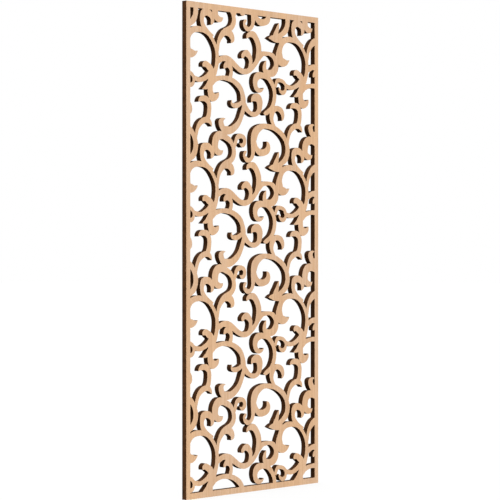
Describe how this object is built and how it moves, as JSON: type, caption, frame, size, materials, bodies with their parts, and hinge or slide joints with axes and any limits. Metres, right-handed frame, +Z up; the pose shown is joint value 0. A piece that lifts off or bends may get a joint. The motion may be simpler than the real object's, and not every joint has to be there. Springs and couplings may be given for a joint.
{
  "type": "fretwork panel",
  "caption": "Tall plywood fretwork panel: curling scrollwork cut right through the sheet in a repeating pattern, inside a narrow plain margin; fills a screen, a door or a wall opening.",
  "frame": {"origin": "middle of the panel's bottom edge, halfway through its thickness", "axes": "+Z up the panel, +Y from the face through to the back, +X to the right seen from the front"},
  "size_m": [0.6, 0.018, 1.52],
  "materials": {
    "face_veneer": "sanded light veneer, upright grain, cut edges scorched dark brown",
    "crossband": "scorched cut edge, level grain",
    "longband": "scorched cut edge, upright grain",
    "back_veneer": "sanded light veneer, upright grain, cut edges scorched dark brown"
  },
  "bodies": {
    "root": {"face_ply": "face_veneer", "front_outer_crossband": "crossband", "front_inner_longband": "longband", "front_inner_crossband": "crossband", "core_ply": "longband", "back_inner_crossband": "crossband", "back_inner_longband": "longband", "back_outer_crossband": "crossband", "back_ply": "back_veneer"}
  },
  "joints": []
}
